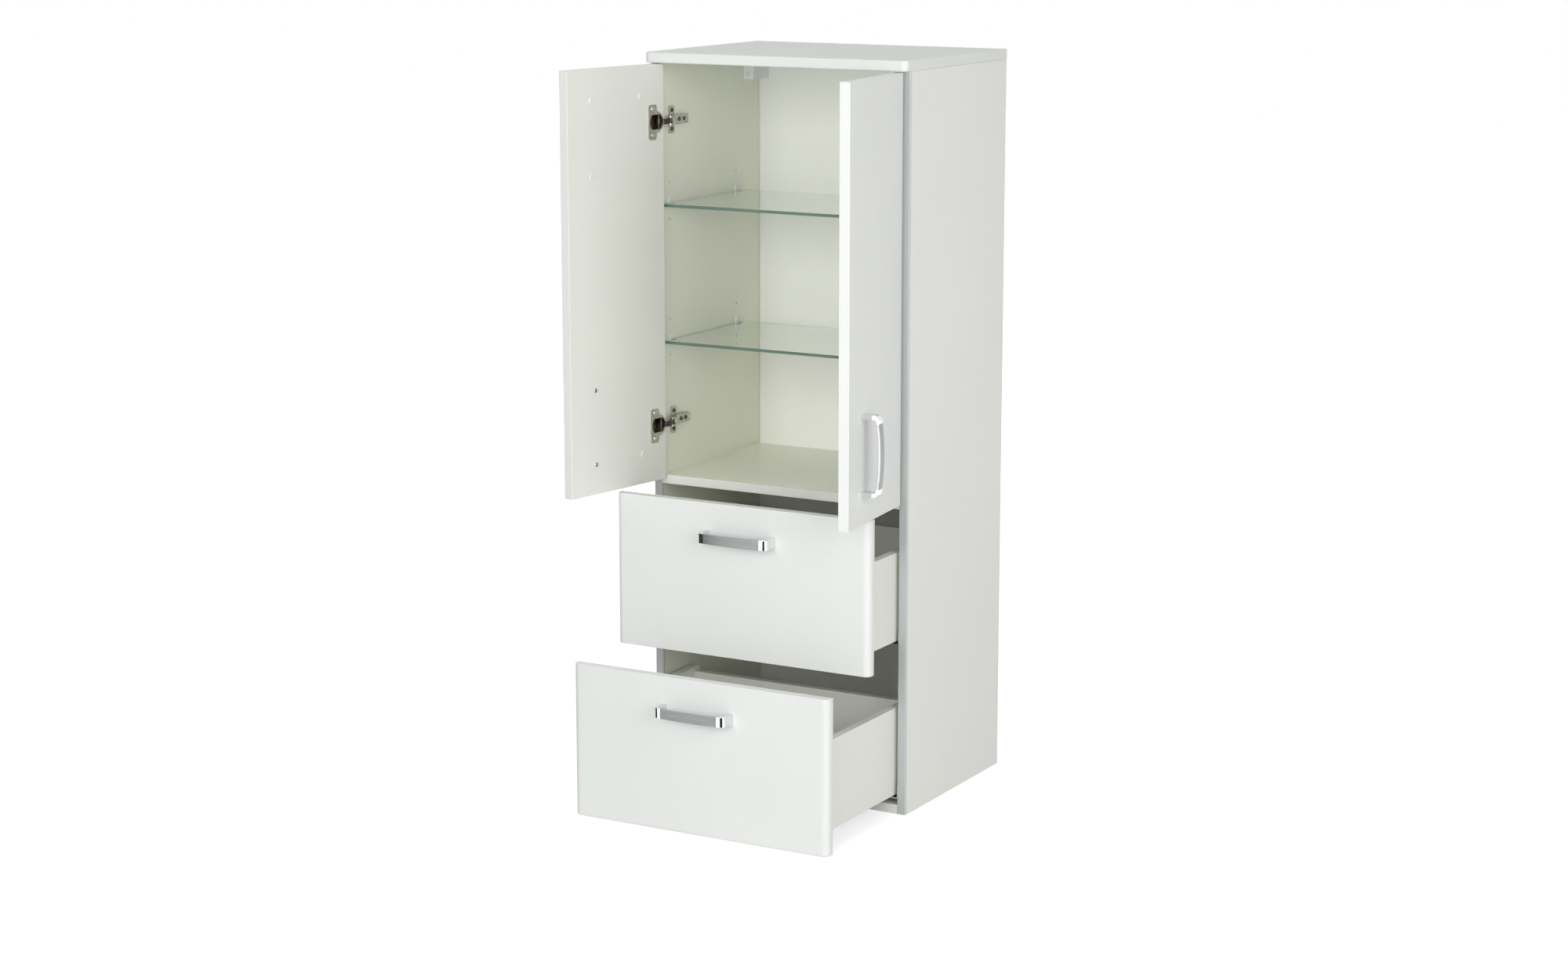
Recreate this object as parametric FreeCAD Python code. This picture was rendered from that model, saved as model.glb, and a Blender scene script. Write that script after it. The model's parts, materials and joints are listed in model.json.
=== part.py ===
import FreeCAD, Part
import math
import os

# A tall bathroom cabinet: two overlay doors above two drawers, all shown part open.
# Millimetres. X runs across the cabinet, +Y to the wall behind it, +Z up.
# The origin is the middle of the carcass's underside.

# Carcass
cabinet_width = 500.0
cabinet_depth = 364.0
side_height = 1268.0
board = 16.0
strip_depth = 3.0
strip_outer_radius = 2.5
strip_inner_radius = 1.0
top_thickness = 18.0
top_side_overhang = 1.5
top_corner_radius = 10.0
top_edge_radius = 3.0
top_rim_share = 0.95
shelf_height = 550.0
panel_edge_radius = 1.0
back_thickness = 3.0
back_recess = 16.0
groove_depth = 7.0
groove_play = 0.2
groove_front_gap = 1.5
overrun = 2.0
same_place = 1e-6
parallel_share = 1e-6
corner_share = 0.33

# Dowels that hold the carcass boards together
dowel_radius = 4.0
dowel_length = 32.0
dowel_in_side = 10.0
dowel_play = 0.05
dowel_place_shares = (0.12, 0.5, 0.88)

# Fronts
front_thickness = 18.0
front_standoff = 2.0
front_gap = 5.0
front_reveal = 3.0
front_edge_radius = 12.0
front_corner_radius = 1.5
front_arris_radius = 0.8
base_reveal = 1.5
door_meeting_gap = 4.0
door_top_gap = 2.0
door_shelf_lap = 6.0
left_door_angle = 99.0
right_door_angle = 96.5

# Glass shelves and their supports
glass_thickness = 5.0
glass_inset = 9.0
glass_depth = 275.0
glass_edge_radius = 0.8
glass_play = 0.3
glass_rises = {"lower": 235.0, "upper": 474.0}
support_row_inset = 32.0
support_hole_pitch = 32.0
support_hole_depth = 10.0
support_pin_radius = 2.5
support_pin_length = 8.0
support_pin_play = 0.05
support_plate = 2.0
support_width = 10.0
support_tongue = 9.0
support_pin_rise = 4.5
support_pin_margin = 5.0

# Hangers in the two upper rear corners
hanger_length = 56.0
hanger_height = 46.0
hanger_width = 20.0
hanger_wall = 2.5
hook_thickness = 3.0
hook_plate_height = 27.0
hook_arm_height = 14.0
hook_reach = 11.0
hook_lip = 3.0
hook_lip_drop = 9.0
hook_slot_margin = 4.0
hanger_screw_radius = 2.5
hanger_screw_head_radius = 4.0
hanger_screw_head = 2.0
hanger_screw_pitch = 13.0
hanger_screw_margin = 7.0

# Hinges
hinge_inset = 98.0
cup_radius = 17.5
cup_wall = 1.0
cup_depth = 12.0
cup_edge = 3.0
cup_play = 0.2
cup_mouth_height = 25.0
rim_radius = 18.6
flange_thickness = 1.2
flange_width = 21.0
flange_length = 60.0
flange_radius = 5.0
cup_screw_offset = 9.5
cup_screw_pitch = 45.0
cup_screw_radius = 1.9
cup_screw_length = 12.0
screw_head_radius = 3.6
screw_head = 1.5
screw_play = 0.05
screw_crown_share = 0.6
recess_width = 0.9
recess_depth = 0.9
recess_reach_share = 0.62
cup_pivot_inset = 7.5
cup_pivot_depth = 4.5
arm_pivot_rise = 12.0
arm_pivot_inset = 17.0
link_turn_share = -0.25
link_thickness = 2.4
link_height = 9.0
link_elbow_inset = 16.0
link_elbow_depth = 8.5
link_mouth_inset = 24.0
link_mouth_rise = 2.0
link_cup_eye_radius = 2.4
link_arm_eye_radius = 3.6
cup_pin_radius = 1.3
cup_pin_length = 20.4
arm_pin_radius = 2.0
pin_play = 0.05
plate_row_inset = 37.0
plate_screw_pitch = 32.0
plate_wing_height = 48.0
plate_wing_width = 17.0
plate_thickness = 2.5
plate_ridge_height = 12.0
plate_ridge_rise = 7.0
plate_ridge_length = 48.0
arm_skin = 1.8
arm_play = 0.2
arm_overhang = 4.0
arm_ear_width = 8.0
arm_ear_setback = 14.0
arm_ear_slant = 4.5
arm_screw_radius = 2.0
arm_screw_shares = (0.35, 0.75)
board_screw_radius = 1.75
board_screw_length = 12.0

# Bow handles
handle_hole_pitch = 128.0
handle_height = 18.0
handle_end_projection = 30.0
handle_mid_projection = 35.0
handle_bar_thickness = 5.0
handle_foot_thickness = 8.0
handle_outer_radius = 9.0
handle_inner_radius = 4.0
handle_edge_radius = 0.8
handle_seam_inset = 14.0
handle_seam_step = 0.25
handle_screw_radius = 2.0
handle_screw_grip = 12.0
handle_screw_head_radius = 4.0
handle_screw_head = 2.4
door_handle_inset = 61.0
door_handle_rise = 52.5
drawer_handle_drop = 55.5
cap_radius = 6.0
cap_rise = 1.0
cap_stem_radius = 2.4
cap_stem_length = 8.0
cap_inset = 60.0
cap_edge_radius = 0.6

# Drawers
drawer_out = {"upper": 111.0, "lower": 253.0}
drawer_side_play = 6.5
drawer_board = 15.0
drawer_height = 154.0
drawer_rise = 31.0
drawer_depth = 343.0
drawer_back_inset = 2.0
drawer_back_drop = 7.0
drawer_edge_radius = 1.0
drawer_bottom_thickness = 4.0
drawer_bottom_rise = 13.0
drawer_groove_depth = 5.0

# Runners under the drawers
rail_sheet = 1.5
rail_width = 18.0
rail_offset = 1.0
rail_inset = 2.0
rail_length = 330.0
drawer_rail_length = 310.0
rail_drop = 6.0
rail_web_height = 22.0
rail_guide_height = 9.5
rail_leg_lift = 1.0
rail_screw_rise = 16.0
rail_screw_shares = (0.15, 0.8)
carriage_length = 44.0
carriage_height = 11.0
carriage_centre_inset = 157.0
carriage_play = 0.4
roller_play = 0.3
roller_width = 4.0
roller_pitch = 22.0

# Places worked out from the sizes above
half_width = cabinet_width / 2
wall_x = half_width - board
front_y = -cabinet_depth / 2
rear_y = cabinet_depth / 2
back_y = rear_y - back_recess - back_thickness
inner_y = front_y - front_standoff
outer_y = inner_y - front_thickness
edge_x = half_width - front_reveal
door_width = edge_x - door_meeting_gap / 2
door_base = shelf_height - door_shelf_lap
door_height = side_height - door_top_gap - door_base
drawer_front_height = (door_base - 2 * front_gap - base_reveal) / 2
front_base = {"lower": base_reveal, "upper": base_reveal + drawer_front_height + front_gap}
glass_base = {row: shelf_height + rise - glass_thickness for row, rise in glass_rises.items()}
hinge_heights = (door_base + hinge_inset, door_base + door_height - hinge_inset)
plate_y = front_y + plate_row_inset
ridge_end = plate_y - plate_wing_width / 2 + plate_ridge_length
arm_half = plate_ridge_height / 2 + arm_play + arm_skin
rail_y = front_y + rail_inset
drawer_outer_x = wall_x - drawer_side_play
drawer_inner_x = drawer_outer_x - drawer_board
link_turn = {"left": link_turn_share * left_door_angle, "right": link_turn_share * right_door_angle}
door_turn = {"left": left_door_angle - link_turn["left"], "right": right_door_angle - link_turn["right"]}

Vec = FreeCAD.Vector
ORIGIN = Vec(0, 0, 0)
ACROSS = Vec(1, 0, 0)
BACKWARD = Vec(0, 1, 0)
FORWARD = Vec(0, -1, 0)
UP = Vec(0, 0, 1)


# Helpers
def slab(x0, x1, y0, y1, z0, z1):
    return Part.makeBox(x1 - x0, y1 - y0, z1 - z0, Vec(x0, y0, z0))


def rod(radius, start, end):
    run = end - start
    return Part.makeCylinder(radius, run.Length, start, run)


def post(radius, at, z0, z1):
    return Part.makeCylinder(radius, z1 - z0, Vec(at.x, at.y, z0), UP)


def capsule(p, q, width, z0, z1):
    """An upright plate of the given width from p to q in plan, with round ends."""
    run = Vec(q.x - p.x, q.y - p.y, 0)
    bar = Part.makeBox(run.Length, width, z1 - z0, Vec(0, -width / 2, 0))
    bar.rotate(ORIGIN, UP, math.degrees(math.atan2(run.y, run.x)))
    bar.translate(Vec(p.x, p.y, z0))
    return bar.fuse([post(width / 2, p, z0, z1), post(width / 2, q, z0, z1)]).removeSplitter()


def edges_along(shape, direction, keep=lambda middle: True):
    """The straight edges along one axis whose middle passes a test."""
    chosen = []
    for edge in shape.Edges:
        if isinstance(edge.Curve, (Part.Line, Part.LineSegment)):
            run = edge.Vertexes[-1].Point - edge.Vertexes[0].Point
            parallel = run.cross(direction).Length < run.Length * parallel_share
            if run.Length > 0 and parallel and keep(edge.CenterOfMass):
                chosen.append(edge)
    return chosen


def edges_at_height(shape, z):
    """The edges that lie flat at one height."""
    return [e for e in shape.Edges if all(abs(v.Point.z - z) < same_place for v in e.Vertexes)
            and abs(e.CenterOfMass.z - z) < same_place]


def mirrored(shape):
    return shape.mirror(ORIGIN, ACROSS)


def moved(shape, dx, dy, dz):
    copy = shape.copy()
    copy.translate(Vec(dx, dy, dz))
    return copy


def both_sides(shapes):
    return list(shapes) + [mirrored(shape) for shape in shapes]


def save(name, *solids):
    shape = solids[0] if len(solids) == 1 else Part.makeCompound(list(solids))
    shape.exportStep(os.path.join("parts", name + ".step"))


os.makedirs("parts", exist_ok=True)


# Fasteners and dowels, and the holes that take them
def screw(at, direction, shank_radius, length, head_radius, head):
    """A cross-recessed screw whose head sits on the point at, with the shank along direction."""
    cap = Part.makeCylinder(head_radius, head, ORIGIN, UP * -1)
    cap = cap.makeFillet(head * screw_crown_share, edges_at_height(cap, -head))
    body = Part.makeCylinder(shank_radius, length).fuse(cap).removeSplitter()
    reach = head_radius * recess_reach_share
    for half_x, half_y in ((reach, recess_width / 2), (recess_width / 2, reach)):
        body = body.cut(slab(-half_x, half_x, -half_y, half_y, -head - overrun, -head + recess_depth))
    body.Placement = FreeCAD.Placement(at, FreeCAD.Rotation(UP, direction))
    return body


def screw_hole(at, direction, shank_radius, length):
    start = at - direction * overrun
    return Part.makeCylinder(shank_radius + screw_play, length + 2 * overrun, start, direction)


def dowel_lines(z):
    """Dowels between a side and a level board, for the left side."""
    start = -wall_x - dowel_in_side
    span = back_y - front_y
    return [(Vec(start, front_y + share * span, z), ACROSS) for share in dowel_place_shares]


def top_dowel_lines():
    """Dowels between the left side and the top."""
    span = back_y - front_y
    x = -half_width + board / 2
    low = side_height - (dowel_length - dowel_in_side)
    return [(Vec(x, front_y + share * span, low), UP) for share in dowel_place_shares]


dowels = dowel_lines(board / 2) + dowel_lines(shelf_height - board / 2) + top_dowel_lines()


def dowel_holes():
    holes = []
    for start, direction in dowels:
        mouth = start - direction * dowel_play
        length = dowel_length + 2 * dowel_play
        holes.append(Part.makeCylinder(dowel_radius + dowel_play, length, mouth, direction))
    return holes


left_dowel_holes = dowel_holes()
all_dowel_holes = Part.makeCompound(both_sides(left_dowel_holes))
save("carcass_dowels", *both_sides([Part.makeCylinder(dowel_radius, dowel_length, *line) for line in dowels]))


# Hinge plates, arms and their screws, for the left side
def hinge_plate(z):
    wing_front = plate_y - plate_wing_width / 2
    wing = slab(-wall_x, -wall_x + plate_thickness, wing_front, wing_front + plate_wing_width,
                z - plate_wing_height / 2, z + plate_wing_height / 2)
    wing = wing.makeFillet(plate_wing_width * corner_share, edges_along(wing, ACROSS))
    ridge = slab(-wall_x, -wall_x + plate_ridge_rise, plate_y, ridge_end,
                 z - plate_ridge_height / 2, z + plate_ridge_height / 2)
    return wing.fuse(ridge).removeSplitter()


def arm_top_x():
    return -wall_x + plate_ridge_rise + arm_play + arm_skin


def arm_pivot():
    return Vec(-wall_x + arm_pivot_rise, front_y + arm_pivot_inset, 0)


def hinge_arm(z):
    """A channel over the plate's ridge, with two ears that carry the link's pin."""
    top = arm_top_x()
    rear = ridge_end + arm_overhang
    start = front_y + arm_pivot_inset + arm_ear_setback - arm_ear_width / 2
    low = -wall_x + plate_thickness + arm_play
    body = slab(low, top, start, rear, z - arm_half, z + arm_half)
    room = arm_half - arm_skin
    body = body.cut(slab(low - overrun, top - arm_skin, start - overrun, rear + overrun, z - room, z + room))
    pivot = arm_pivot()
    root = Vec(pivot.x - arm_ear_slant, pivot.y + arm_ear_setback, 0)
    ear = arm_half - link_height / 2 - 2 * arm_play
    for low_z in (z - arm_half, z + arm_half - ear):
        body = body.fuse(capsule(root, pivot, arm_ear_width, low_z, low_z + ear))
    body = body.removeSplitter()
    return body.cut(post(arm_pin_radius + pin_play, pivot, z - arm_half - overrun, z + arm_half + overrun))


def plate_screw_places(z):
    return [Vec(-wall_x + plate_thickness, plate_y, z + side * plate_screw_pitch / 2) for side in (-1, 1)]


def arm_screw_places(z):
    run = ridge_end - plate_y
    return [Vec(arm_top_x(), plate_y + share * run, z) for share in arm_screw_shares]


def board_screw(place, length):
    """A screw through metal on the left side's inner face into the board."""
    return screw(place, ACROSS * -1, board_screw_radius, length, screw_head_radius, screw_head)


arm_screw_length = plate_ridge_rise + arm_play + arm_skin - plate_thickness
plate_screw_length = plate_thickness + board_screw_length
rail_screw_length = rail_sheet + board_screw_length


def rail_screw_places(level):
    z = front_base[level] + drawer_rise - rail_drop + rail_screw_rise
    return [Vec(-wall_x + rail_sheet, rail_y + share * rail_length, z) for share in rail_screw_shares]


plates = []
arms = []
fixing_screws = []
side_screw_holes = []
for hinge_z in hinge_heights:
    plate = hinge_plate(hinge_z)
    arm = hinge_arm(hinge_z)
    for place in plate_screw_places(hinge_z):
        hole = screw_hole(place, ACROSS * -1, board_screw_radius, plate_screw_length)
        plate = plate.cut(hole)
        side_screw_holes.append(hole)
        fixing_screws.append(board_screw(place, plate_screw_length))
    for place in arm_screw_places(hinge_z):
        hole = screw_hole(place, ACROSS * -1, arm_screw_radius, arm_screw_length)
        plate = plate.cut(hole)
        arm = arm.cut(hole)
        fixing_screws.append(screw(place, ACROSS * -1, arm_screw_radius, arm_screw_length,
                                   screw_head_radius, screw_head))
    plates.append(plate)
    arms.append(arm)
for level in drawer_out:
    for place in rail_screw_places(level):
        side_screw_holes.append(screw_hole(place, ACROSS * -1, board_screw_radius, rail_screw_length))
        fixing_screws.append(board_screw(place, rail_screw_length))
save("hinge_plates", *both_sides(plates))
save("hinge_arms", *both_sides(arms))
save("fixing_screws", *both_sides(fixing_screws))


# Side panels, their front edge strips and the boards between them
def support_rows():
    return [front_y + support_row_inset, front_y + 2 * glass_inset + glass_depth - support_row_inset]


def support_pin_height(row):
    return glass_base[row] + glass_thickness + support_pin_rise


def support_holes():
    holes = []
    for row in glass_base:
        for y in support_rows():
            for step in (-1, 0, 1):
                mouth = Vec(-wall_x + overrun, y, support_pin_height(row) + step * support_hole_pitch)
                bottom = Vec(-wall_x - support_hole_depth, mouth.y, mouth.z)
                holes.append(rod(support_pin_radius + support_pin_play, mouth, bottom))
    return holes


side = slab(-half_width, -wall_x, front_y + strip_depth, rear_y, 0, side_height)
back_groove = slab(-wall_x - groove_depth, wall_x + groove_depth, back_y - groove_front_gap,
                   back_y + back_thickness + groove_play / 2,
                   board - groove_depth, side_height + groove_depth)
side = side.cut([back_groove] + left_dowel_holes + side_screw_holes + support_holes())
save("left_side_panel", side)
save("right_side_panel", mirrored(side))

strip = slab(-half_width, -wall_x, front_y, front_y + strip_depth, 0, side_height)
strip_middle = Vec(-half_width + board / 2, front_y + strip_depth / 2, 0)
outer_edges = edges_along(strip, UP, lambda m: m.x < strip_middle.x and m.y < strip_middle.y)
strip = strip.makeFillet(strip_outer_radius, outer_edges)
inner_edges = edges_along(strip, UP, lambda m: m.x > strip_middle.x and m.y < strip_middle.y)
strip = strip.makeFillet(strip_inner_radius, inner_edges)
save("left_edge_strip", strip)
save("right_edge_strip", mirrored(strip))


def level_board(z0, rear):
    panel = slab(-wall_x, wall_x, front_y, rear, z0, z0 + board)
    front_edges = edges_along(panel, ACROSS, lambda m: m.y < front_y + panel_edge_radius)
    return panel.makeFillet(panel_edge_radius, front_edges).cut(all_dowel_holes)


save("bottom_panel", level_board(0, rear_y).cut(back_groove))
save("middle_shelf", level_board(shelf_height - board, back_y))


def top_panel():
    side_x = half_width + top_side_overhang
    panel = slab(-side_x, side_x, outer_y, rear_y, side_height, side_height + top_thickness)
    panel = panel.makeFillet(top_corner_radius, edges_along(panel, UP, lambda m: m.y < 0))
    rear_edges = edges_along(panel, UP, lambda m: m.y > rear_y - top_edge_radius)
    panel = panel.makeFillet(top_edge_radius, rear_edges)
    rims = edges_at_height(panel, side_height) + edges_at_height(panel, side_height + top_thickness)
    panel = panel.makeFillet(top_edge_radius * top_rim_share, rims)
    return panel.cut([back_groove, all_dowel_holes])


save("top_panel", top_panel())


# Hangers: housing, hook and the two adjusting screws, for the left corner
hanger_x0 = -wall_x
hanger_x1 = -wall_x + hanger_width
hanger_y = back_y - hanger_length
hanger_z = side_height - hanger_height
hook_x = (hanger_x0 + hanger_x1) / 2
hook_base = hanger_z + hanger_wall
hook_top = hook_base + hook_plate_height
hook_front = hanger_y + 2 * hanger_wall


def hanger_housing():
    box = slab(hanger_x0, hanger_x1, hanger_y, back_y, hanger_z, side_height)
    shown_edge = edges_along(box, UP, lambda m: m.x > hook_x and m.y < back_y - hanger_wall)
    box = box.makeFillet(hanger_wall / 2, shown_edge)
    room = slab(hanger_x0 + hanger_wall, hanger_x1 - hanger_wall, hanger_y + hanger_wall, back_y + overrun,
                hanger_z + hanger_wall, side_height - hanger_wall)
    box = box.cut(room)
    for place in hanger_screw_places():
        box = box.cut(screw_hole(place, BACKWARD, hanger_screw_radius, hanger_wall))
    return box


def hanger_screw_places():
    low = hook_base + hanger_screw_margin
    return [Vec(hook_x, hanger_y, low + step * hanger_screw_pitch) for step in (0, 1)]


def hanger_hook():
    x0 = hook_x - hook_thickness / 2
    x1 = hook_x + hook_thickness / 2
    rear = back_y + back_thickness + hook_reach
    plate = slab(x0, x1, hook_front, back_y - hanger_wall, hook_base, hook_top)
    arm = slab(x0, x1, back_y - 2 * hanger_wall, rear, hook_top - hook_arm_height, hook_top)
    lip = slab(x0, x1, rear - hook_lip, rear, hook_top - hook_arm_height - hook_lip_drop, hook_top)
    return plate.fuse([arm, lip]).removeSplitter()


def hook_slot():
    half = hook_thickness / 2 + hook_slot_margin
    return slab(hook_x - half, hook_x + half, back_y - overrun, back_y + back_thickness + overrun,
                hook_top - hook_arm_height - hook_lip_drop, hook_top + hook_slot_margin)


def hanger_screw(place):
    return screw(place, BACKWARD, hanger_screw_radius, hook_front - hanger_y,
                 hanger_screw_head_radius, hanger_screw_head)


housing = hanger_housing()
save("left_hanger_housing", housing)
save("right_hanger_housing", mirrored(housing))
save("hanger_hooks", *both_sides([hanger_hook()]))
save("hanger_screws", *both_sides([hanger_screw(place) for place in hanger_screw_places()]))

back_half = wall_x + groove_depth - groove_play
back_panel = slab(-back_half, back_half, back_y, back_y + back_thickness,
                  board - groove_depth + groove_play, side_height + groove_depth - groove_play)
save("back_panel", back_panel.cut(both_sides([hook_slot()])))


# Glass shelves on their supports
def glass_shelf(row):
    half = wall_x - support_plate - glass_play
    pane = slab(-half, half, front_y + glass_inset, front_y + glass_inset + glass_depth,
                glass_base[row], glass_base[row] + glass_thickness)
    return pane.makeFillet(glass_edge_radius, pane.Edges)


def shelf_support(row, y):
    """A pin in the side, a plate on its face and a tongue under the glass."""
    pin_z = support_pin_height(row)
    floor = glass_base[row] - support_plate
    y0 = y - support_width / 2
    y1 = y + support_width / 2
    radius = support_width * corner_share
    plate_x = -wall_x + support_plate
    plate = slab(-wall_x, plate_x, y0, y1, floor, pin_z + support_pin_margin)
    plate = plate.makeFillet(radius, edges_along(plate, ACROSS, lambda m: m.z > pin_z))
    tongue = slab(-wall_x, plate_x + support_tongue, y0, y1, floor, glass_base[row])
    tongue = tongue.makeFillet(radius, edges_along(tongue, UP, lambda m: m.x > plate_x))
    pin = rod(support_pin_radius, Vec(-wall_x - support_pin_length, y, pin_z), Vec(plate_x, y, pin_z))
    return plate.fuse([tongue, pin]).removeSplitter()


for row in glass_base:
    save(row + "_glass_shelf", glass_shelf(row))
save("shelf_supports", *both_sides([shelf_support(row, y) for row in glass_base for y in support_rows()]))


# The bow handle: u runs along it, v away from the front, w across its height
handle_half = handle_hole_pitch / 2 + handle_foot_thickness / 2
handle_seam = handle_half - handle_seam_inset


def handle_profile(step):
    """The side view of the bow, drawn in by step all round."""
    outer_u = handle_half - step
    inner_u = handle_half - handle_foot_thickness + step
    outer_end = handle_end_projection - step
    outer_mid = handle_mid_projection - step
    inner_mid = outer_mid - handle_bar_thickness + 2 * step
    inner_end = inner_mid - (outer_mid - outer_end) * (inner_u / outer_u) ** 2
    crown = Part.Arc(Vec(outer_u, outer_end, 0), Vec(0, outer_mid, 0), Vec(-outer_u, outer_end, 0)).toShape()
    belly = Part.Arc(Vec(-inner_u, inner_end, 0), Vec(0, inner_mid, 0), Vec(inner_u, inner_end, 0)).toShape()
    corners = [Vec(-outer_u, outer_end, 0), Vec(-outer_u, 0, 0)]
    corners += [Vec(-inner_u, 0, 0), Vec(-inner_u, inner_end, 0)]
    left_leg = [Part.makeLine(a, b) for a, b in zip(corners, corners[1:])]
    corners = [Vec(-p.x, p.y, 0) for p in reversed(corners)]
    right_leg = [Part.makeLine(a, b) for a, b in zip(corners, corners[1:])]
    return Part.Face(Part.Wire([crown] + left_leg + [belly] + right_leg))


def handle_bow(step):
    depth = handle_height - 2 * step
    bow = handle_profile(step).extrude(UP * depth)
    bow.translate(UP * (-depth / 2))
    hole_u = handle_hole_pitch / 2
    half_out = handle_end_projection / 2
    outer = edges_along(bow, UP, lambda m: abs(m.x) > hole_u and m.y > half_out)
    bow = bow.makeFillet(handle_outer_radius, outer)
    inner = edges_along(bow, UP, lambda m: abs(m.x) < hole_u and m.y > half_out)
    return bow.makeFillet(handle_inner_radius, inner)


def handle_block(reach):
    """A block that holds the stretch of handle between the two seams."""
    return slab(-reach, reach, -overrun, handle_mid_projection + overrun, -handle_height, handle_height)


def softened(solid, radius):
    """Rounds the long edges on the two flat flanks."""
    flank = max(abs(v.Point.z) for v in solid.Vertexes)
    rims = [e for e in solid.Edges if abs(abs(e.CenterOfMass.z) - flank) < same_place
            and abs(e.Vertexes[0].Point.z - e.Vertexes[-1].Point.z) < same_place
            and not seam_or_foot_edge(e)]
    return solid.makeFillet(radius, rims)


def seam_or_foot_edge(edge):
    middle = edge.CenterOfMass
    return abs(abs(middle.x) - handle_seam) < same_place or abs(middle.y) < same_place


def handle_bar():
    bar = handle_bow(handle_seam_step).common(handle_block(handle_seam))
    return softened(bar.Solids[0], handle_edge_radius)


def handle_feet():
    feet = []
    for foot in handle_bow(0).cut(handle_block(handle_seam)).Solids:
        u = math.copysign(handle_hole_pitch / 2, foot.CenterOfMass.x)
        tapped = screw_hole(Vec(u, 0, 0), BACKWARD, handle_screw_radius, handle_screw_grip)
        feet.append(softened(foot, handle_edge_radius).cut(tapped))
    return feet


def handle_screw(u):
    """A machine screw from behind the front into a foot; v is 0 on the front's outer face."""
    return screw(Vec(u, -front_thickness, 0), BACKWARD, handle_screw_radius,
                 front_thickness + handle_screw_grip, handle_screw_head_radius, handle_screw_head)


handle_us = (-handle_hole_pitch / 2, handle_hole_pitch / 2)
handle_solids = {
    "handle_bar": [handle_bar()],
    "handle_feet": handle_feet(),
    "handle_screws": [handle_screw(u) for u in handle_us],
}


def set_on_front(shape, centre_x, centre_z, upright):
    """Turns a handle piece to face forward and sets it on the closed front's outer face."""
    placed = shape.copy()
    placed.rotate(ORIGIN, UP, 180)
    if upright:
        placed.rotate(ORIGIN, FORWARD, 90)
    placed.translate(Vec(centre_x, outer_y, centre_z))
    return placed


def handle_holes(centre_x, centre_z, upright):
    holes = []
    for u in handle_us:
        at = Vec(centre_x, outer_y, centre_z) + (UP * u if upright else ACROSS * u)
        holes.append(screw_hole(at, BACKWARD, handle_screw_radius, front_thickness))
    return holes


# The left door with its hinges, closed; the right one is its mirror image
def door_point(inset, depth):
    """A place on the closed left door, measured in from its hinge edge and from its inner face."""
    return Vec(-edge_x + inset, inner_y - depth, 0)


cup_inset = cup_edge + cup_radius
cup_pivot = door_point(cup_pivot_inset, cup_pivot_depth)


def cup_screw_places(z):
    at = door_point(cup_inset + cup_screw_offset, -flange_thickness)
    return [Vec(at.x, at.y, z + side * cup_screw_pitch / 2) for side in (-1, 1)]


def hinge_cup(z):
    centre = door_point(cup_inset, 0) + UP * z
    bowl = Part.makeCylinder(cup_radius, cup_depth, centre, FORWARD)
    rim = Part.makeCylinder(rim_radius, flange_thickness, centre, BACKWARD)
    near = door_point(cup_inset + cup_screw_offset - flange_width / 2, 0)
    flange = slab(near.x, near.x + flange_width, near.y, near.y + flange_thickness,
                  z - flange_length / 2, z + flange_length / 2)
    flange = flange.makeFillet(flange_radius, edges_along(flange, BACKWARD))
    cup = bowl.fuse([rim, flange]).removeSplitter()
    inner = cup_radius - cup_wall
    mouth = rod(inner, centre + BACKWARD * overrun, centre)
    mouth = mouth.common(slab(centre.x - inner, centre.x + inner, centre.y, centre.y + overrun,
                              z - cup_mouth_height / 2, z + cup_mouth_height / 2))
    room = rod(inner, centre, centre + FORWARD * (cup_depth - cup_wall))
    bore = post(cup_pin_radius + pin_play, cup_pivot, z - cup_pin_length, z + cup_pin_length)
    cuts = [screw_hole(place, FORWARD, cup_screw_radius, flange_thickness) for place in cup_screw_places(z)]
    return cup.cut([mouth, room, bore] + cuts)


def hinge_link(z):
    """A cranked plate from the arm's pin, round the door's edge, to the pin in the cup."""
    low = z - link_height / 2
    high = z + link_height / 2
    pivot = arm_pivot()
    elbow = door_point(link_elbow_inset, link_elbow_depth)
    mouth = door_point(link_mouth_inset, -link_mouth_rise)
    path = [cup_pivot, elbow, mouth, pivot]
    link = post(link_cup_eye_radius, cup_pivot, low, high).fuse(post(link_arm_eye_radius, pivot, low, high))
    for p, q in zip(path, path[1:]):
        link = link.fuse(capsule(p, q, link_thickness, low, high))
    bores = [post(cup_pin_radius + pin_play, cup_pivot, low - overrun, high + overrun),
             post(arm_pin_radius + pin_play, pivot, low - overrun, high + overrun)]
    return link.removeSplitter().cut(bores)


def hinge_pins(z):
    return [post(cup_pin_radius, cup_pivot, z - cup_pin_length / 2, z + cup_pin_length / 2),
            post(arm_pin_radius, arm_pivot(), z - arm_half, z + arm_half)]


def cap_places():
    """Covers over the spare handle holes: the free upper corner and both hinge-side corners."""
    low = door_base + door_handle_rise
    high = door_base + door_height - door_handle_rise
    free = door_width - cap_inset
    return [(free, high), (free, high - handle_hole_pitch), (cap_inset, high), (cap_inset, low)]


def cover_cap(inset, z):
    at = door_point(inset, 0) + UP * z
    disc = Part.makeCylinder(cap_radius, cap_rise, at, BACKWARD)
    face = max(disc.Faces, key=lambda f: f.CenterOfMass.y)
    disc = disc.makeFillet(cap_edge_radius, face.Edges)
    return disc.fuse(Part.makeCylinder(cap_stem_radius, cap_stem_length, at, FORWARD)).removeSplitter()


def cap_hole(inset, z):
    at = door_point(inset, 0) + UP * z
    return screw_hole(at, FORWARD, cap_stem_radius, cap_stem_length)


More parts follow.
